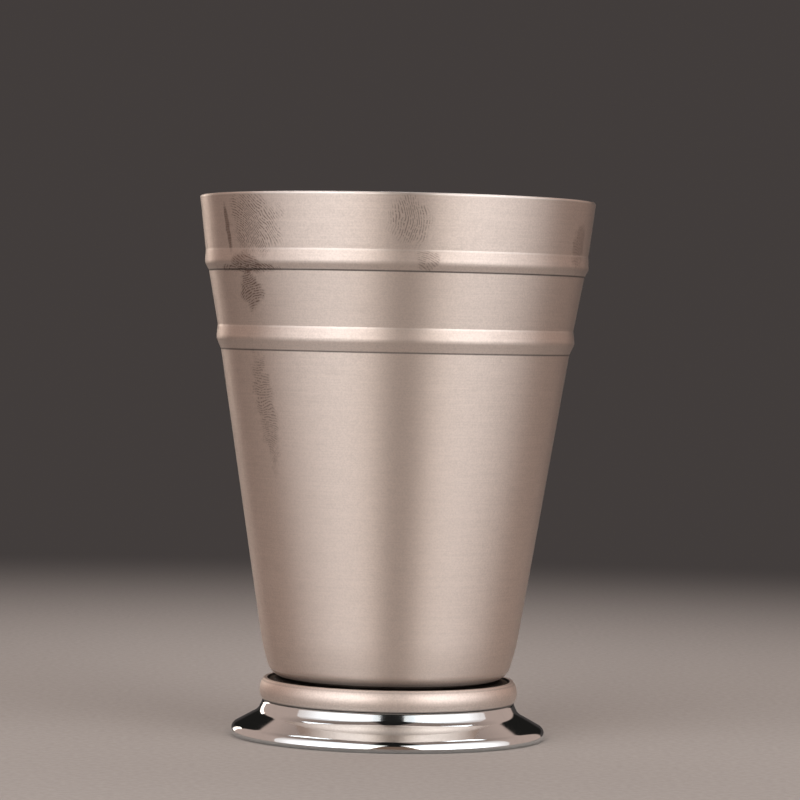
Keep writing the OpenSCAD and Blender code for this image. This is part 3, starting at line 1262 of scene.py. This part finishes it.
@dataclass(frozen=True)
class Softbox:
    """Rectangular studio lamp that faces the cup.

    Attributes:
        name: Name of the lamp.
        azimuth: Where it stands, in degrees from the camera's side towards +X.
        elevation: Height of its middle above the table, in degrees.
        width: Width in metres.
        height: Height in metres.
        power: Power in watts.
        edge: Edge towards which it fades.
        color: Colour of the light.
        inner_tint: What its light is multiplied by at the edge that doesn't fade.
        distance: Distance from the cup in metres.
        edge_share: Share of the light that is left at the edge towards which it fades.
        top_share: Share of the light that is left at its top.
    """

    name: str
    azimuth: float
    elevation: float
    width: float
    height: float
    power: float
    edge: Fade = Fade.NONE
    color: tuple[float, float, float] = (0.955, 0.995, 1.035)
    inner_tint: Color = (1.04, 0.93, 0.84, 1.0)
    distance: float = 1.2
    edge_share: float = 0.2
    top_share: float = 0.4

    def fade(self, data: bpy.types.Light) -> None:
        """Lets the lamp fade towards its outer edge and its top, and turn warmer towards its inner edge.

        Args:
            data: The lamp's data.
        """
        data.use_nodes = True
        data.node_tree.nodes.clear()
        g = Graph(data.node_tree)
        spot = g.split(g.node("ShaderNodeNewGeometry").outputs["Parametric"])
        across = spot["X"] if self.edge is Fade.LEFT else g.math("SUBTRACT", 1.0, spot["X"])
        side = g.smooth(across, *SIDE_FADE, (self.edge_share, 1.0))
        rise = g.smooth(spot["Y"], *TOP_FADE, (1.0, self.top_share))
        tint = g.blend(g.smooth(across, *SIDE_TINT), (1.0, 1.0, 1.0, 1.0), self.inner_tint)
        glow = g.node("ShaderNodeEmission", None, {"Color": tint, "Strength": g.math("MULTIPLY", side, rise)})
        g.node("ShaderNodeOutputLight", None, {"Surface": glow.outputs[0]})

    def build(self) -> bpy.types.Object:
        """Builds the lamp, turned to the cup and not seen by the camera.

        Returns:
            The lamp's object.
        """
        data = bpy.data.lights.new(self.name, "AREA")
        data.shape = "RECTANGLE"
        data.size, data.size_y = self.width, self.height
        data.energy = self.power
        data.color = self.color
        if self.edge is not Fade.NONE:
            self.fade(data)
        lamp = bpy.data.objects.new(self.name, data)
        a, e = math.radians(self.azimuth), math.radians(self.elevation)
        way = np.array([math.sin(a) * math.cos(e), -math.cos(a) * math.cos(e), math.sin(e)])
        side = np.array([math.cos(a), math.sin(a), 0.0])
        lamp.matrix_world = axes_matrix(side, np.cross(way, side), way, LAMP_TARGET + way * self.distance)
        lamp.visible_camera = False
        bpy.context.scene.collection.objects.link(lamp)
        return lamp


SOFTBOXES = (
    Softbox("left_softbox", -50.0, 24.0, width=2.01, height=1.3, power=21.5, edge=Fade.LEFT),
    Softbox("right_softbox", 60.5, 24.0, width=1.98, height=1.3, power=20.8, edge=Fade.RIGHT),
    Softbox("left_back_lamp", -150.0, 60.0, width=0.6, height=0.4, power=2.0),
    Softbox("left_edge_lamp", -151.0, 8.0, width=0.14, height=0.35, power=0.6, color=(1.0, 0.86, 0.76)),
    Softbox("right_back_lamp", 150.0, 60.0, width=0.6, height=0.4, power=2.0),
)
# Colour of the backdrop and of the floor far away
BACKDROP: Color = (0.055, 0.047, 0.045, 1.0)


@dataclass(frozen=True)
class Camera:
    """Camera at the photograph's place and angle.

    Attributes:
        lens: Focal length in millimetres.
        sensor: Width of the sensor in millimetres.
        place: Where it stands, in metres.
        yaw: How far it looks to the right of straight ahead, in degrees.
        pitch: How far it looks down, in degrees.
        roll: How far it is turned anticlockwise as seen from behind it, in degrees.
        clip: Nearest and farthest distance that it sees, in metres.
    """

    lens: float = 162.54
    sensor: float = 36.0
    place: tuple[float, float, float] = (0.0, -0.7871, 0.08897)
    yaw: float = 0.093
    pitch: float = 1.140
    roll: float = 1.162
    clip: tuple[float, float] = (0.05, 100.0)

    def build(self) -> bpy.types.Object:
        """Builds the camera and makes it the scene's.

        Returns:
            The camera's object.
        """
        data = bpy.data.cameras.new("camera")
        data.sensor_width = self.sensor
        data.lens = self.lens
        data.clip_start, data.clip_end = self.clip
        camera = bpy.data.objects.new("camera", data)
        yaw, pitch, roll = (math.radians(v) for v in (self.yaw, self.pitch, self.roll))
        ahead = np.array([math.sin(yaw) * math.cos(pitch), math.cos(yaw) * math.cos(pitch), -math.sin(pitch)])
        right = np.array([math.cos(yaw), -math.sin(yaw), 0.0])
        up = np.cross(right, ahead)
        x_axis = math.cos(roll) * right + math.sin(roll) * up
        y_axis = -math.sin(roll) * right + math.cos(roll) * up
        camera.matrix_world = axes_matrix(x_axis, y_axis, -ahead, np.array(self.place))
        bpy.context.scene.collection.objects.link(camera)
        bpy.context.scene.camera = camera
        return camera


@dataclass(frozen=True)
class Room:
    """Room round the cup, as the steel reflects it.

    The room has walls at both sides. Between them, a gap lies in front of the cup and another
    behind it. Azimuths are in degrees from the camera's side, and heights are the vertical part of
    a direction of length 1. Each pair tells where a change starts and where it ends.

    Attributes:
        panel: Colour of the walls.
        deep: Colour of the high part of the front gap and of the part above the backdrop.
        front: Colour of the low part of the front gap.
        front_middle: Azimuth of the middle of the front gap, towards +X.
        front_edge: How far from that middle the walls start.
        front_top: Heights at which the low part of the front gap ends.
        back_edge: Azimuths, to both sides, at which the back gap starts.
        back_top: Heights at which the back gap ends and the walls meet over it.
        backdrop_top: Heights at which the backdrop ends.
        overhead: Heights over which the walls turn dimmer.
        overhead_share: Share of the walls' light that is left above them.
    """

    panel: Color = (0.49, 0.36, 0.31, 1.0)
    deep: Color = (0.012, 0.011, 0.010, 1.0)
    front: Color = (0.2, 0.125, 0.09, 1.0)
    front_middle: float = 8.0
    front_edge: tuple[float, float] = (17.0, 30.0)
    front_top: tuple[float, float] = (0.45, 0.55)
    back_edge: tuple[float, float] = (148.0, 153.0)
    back_top: tuple[float, float] = (0.50, 0.53)
    backdrop_top: tuple[float, float] = (0.10, 0.15)
    overhead: tuple[float, float] = (0.5, 0.9)
    overhead_share: float = 0.5

    def build(self) -> None:
        """Builds the room as the scene's world.

        The backdrop lies low at the sides and behind, and the dark part above it and in front. The
        low part of the front gap covers them, and the walls cover all but the two gaps.
        """
        world = bpy.data.worlds.new("studio")
        world.use_nodes = True
        world.node_tree.nodes.clear()
        g = Graph(world.node_tree)
        way = g.split(g.node("ShaderNodeTexCoord").outputs["Generated"])
        height = way["Z"]
        azimuth = g.math("ARCTAN2", way["X"], g.math("MULTIPLY", way["Y"], -1.0))
        off_front = g.math("ABSOLUTE", g.math("SUBTRACT", azimuth, math.radians(self.front_middle)))
        aside = g.smooth(off_front, *map(math.radians, self.front_edge))
        backward = g.smooth(g.math("ABSOLUTE", azimuth), *map(math.radians, self.back_edge))
        behind = g.math("MULTIPLY", backward, g.smooth(height, *self.back_top, (1.0, 0.0)))
        overhead = g.smooth(height, *self.overhead, (1.0, self.overhead_share))
        lit = g.math("MULTIPLY", g.math("MULTIPLY", aside, overhead), g.math("SUBTRACT", 1.0, behind))
        low = g.smooth(height, *self.backdrop_top, (1.0, 0.0))
        below = g.smooth(height, *self.front_top, (1.0, 0.0))
        ahead = g.math("MULTIPLY", g.math("SUBTRACT", 1.0, aside), below)
        color = g.blend(g.math("MULTIPLY", aside, low), self.deep, BACKDROP)
        color = g.blend(ahead, color, self.front)
        color = g.blend(lit, color, self.panel)
        back = g.node("ShaderNodeBackground", None, {"Color": color, "Strength": 1.0})
        g.node("ShaderNodeOutputWorld", None, {"Surface": back.outputs[0]})
        bpy.context.scene.world = world


@dataclass(frozen=True)
class Floor:
    """Wide disc under the cup, whose colour turns into the backdrop's far away.

    Attributes:
        color: Colour round the cup.
        speckle: Darkest and lightest speckle, as shares of that colour.
        speckle_scale: Scale of the speckle, in 1/m.
        far: Distances from the cup between which it turns into the backdrop, in metres.
        radii: Radii of its rings of points, in metres.
        around: Number of points in a ring.
    """

    color: Color = (0.36, 0.325, 0.3, 1.0)
    speckle: tuple[float, float] = (0.94, 1.04)
    speckle_scale: float = 700.0
    far: tuple[float, float] = (0.12, 0.62)
    radii: tuple[float, ...] = (0.3, 1.0, 3.0, 40.0)
    around: int = 96

    def mesh(self) -> bpy.types.Mesh:
        """Builds the disc: a fan of triangles round the middle, and rings of four-sided faces.

        Point k of ring i is (r_i cos t_k, r_i sin t_k, 0) with t_k = 2 pi k / around.

        Returns:
            The mesh.
        """
        angle = 2 * math.pi * np.arange(self.around) / self.around
        spokes = np.stack([np.cos(angle), np.sin(angle), np.zeros(self.around)], -1)
        rings = (np.array(self.radii)[:, None, None] * spokes).reshape(-1, 3)
        verts = np.concatenate([np.zeros((1, 3)), rings])
        this = 1 + np.arange(self.around)
        following = 1 + np.arange(1, self.around + 1) % self.around
        faces = np.stack([np.zeros(self.around, int), this, following], 1).tolist()
        for ring in range(len(self.radii) - 1):
            inner, outer = self.around * ring, self.around * (ring + 1)
            faces += np.stack([this + inner, this + outer, following + outer, following + inner], 1).tolist()
        mesh = bpy.data.meshes.new("floor")
        mesh.from_pydata(verts.tolist(), [], faces)
        return mesh

    def material(self) -> bpy.types.Material:
        """Builds the floor's material: a dull surface near the cup and the backdrop's glow far away.

        Returns:
            The material.
        """
        material = bpy.data.materials.new("floor")
        material.use_nodes = True
        material.node_tree.nodes.clear()
        g = Graph(material.node_tree)
        place = g.node("ShaderNodeTexCoord").outputs["Object"]
        far = g.smooth(g.vector("LENGTH", place).outputs["Value"], *self.far)
        speckle = g.smooth(g.noise(place, self.speckle_scale), 0.3, 0.7, self.speckle)
        near = g.node("ShaderNodeBsdfDiffuse", None,
                      {"Color": g.scaled(self.color[:3], speckle), "Roughness": 0.5})
        glow = g.node("ShaderNodeEmission", None, {"Color": BACKDROP, "Strength": 1.0})
        mixed = g.node("ShaderNodeMixShader", None, {0: far, 1: near.outputs[0], 2: glow.outputs[0]})
        g.node("ShaderNodeOutputMaterial", None, {"Surface": mixed.outputs[0]})
        return material

    def build(self) -> bpy.types.Object:
        """Builds the floor.

        Returns:
            The floor's object.
        """
        floor = bpy.data.objects.new("floor", self.mesh())
        bpy.context.scene.collection.objects.link(floor)
        floor.data.materials.append(self.material())
        return floor


@dataclass(frozen=True)
class Studio:
    """All that is round the cup.

    Attributes:
        camera: The camera.
        room: The room that the steel reflects.
        lamps: The lamps.
        floor: The floor.
    """

    camera: Camera = Camera()
    room: Room = Room()
    lamps: tuple[Softbox, ...] = SOFTBOXES
    floor: Floor = Floor()

    def build(self) -> None:
        """Builds the whole studio and sets the look of the picture."""
        self.camera.build()
        self.room.build()
        for lamp in self.lamps:
            lamp.build()
        self.floor.build()
        bpy.context.scene.view_settings.view_transform = "Standard"


def dress_fillers() -> None:
    """Gives the two braze rings, which stay as they were cut, their material."""
    # The filler's near-black colour is partly its own dull, flux-darkened metal and partly painted shade of
    # the groove it sits in
    material = BrazeFiller("braze_filler", color=(0.10, 0.08, 0.06, 1.0), roughness=0.6).material()
    for name in ("body_braze_ring", "collar_braze_ring"):
        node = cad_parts[name]
        node.data.materials.clear()
        node.data.materials.append(material)
        log.info("%s dressed", name)


def main() -> None:
    """Builds the studio and the cup in order and reports each piece."""
    logging.basicConfig(level=logging.INFO, format="%(name)s: %(message)s")
    Studio().build()
    effects = Effects.build()
    for part in (CupBody(), Foot(), Collar()):
        piece = part.build()
        part.dress(piece, effects)
        log.info("%s: %d faces", piece.name, len(piece.data.polygons))
    dress_fillers()


if __name__ == "__main__":
    main()
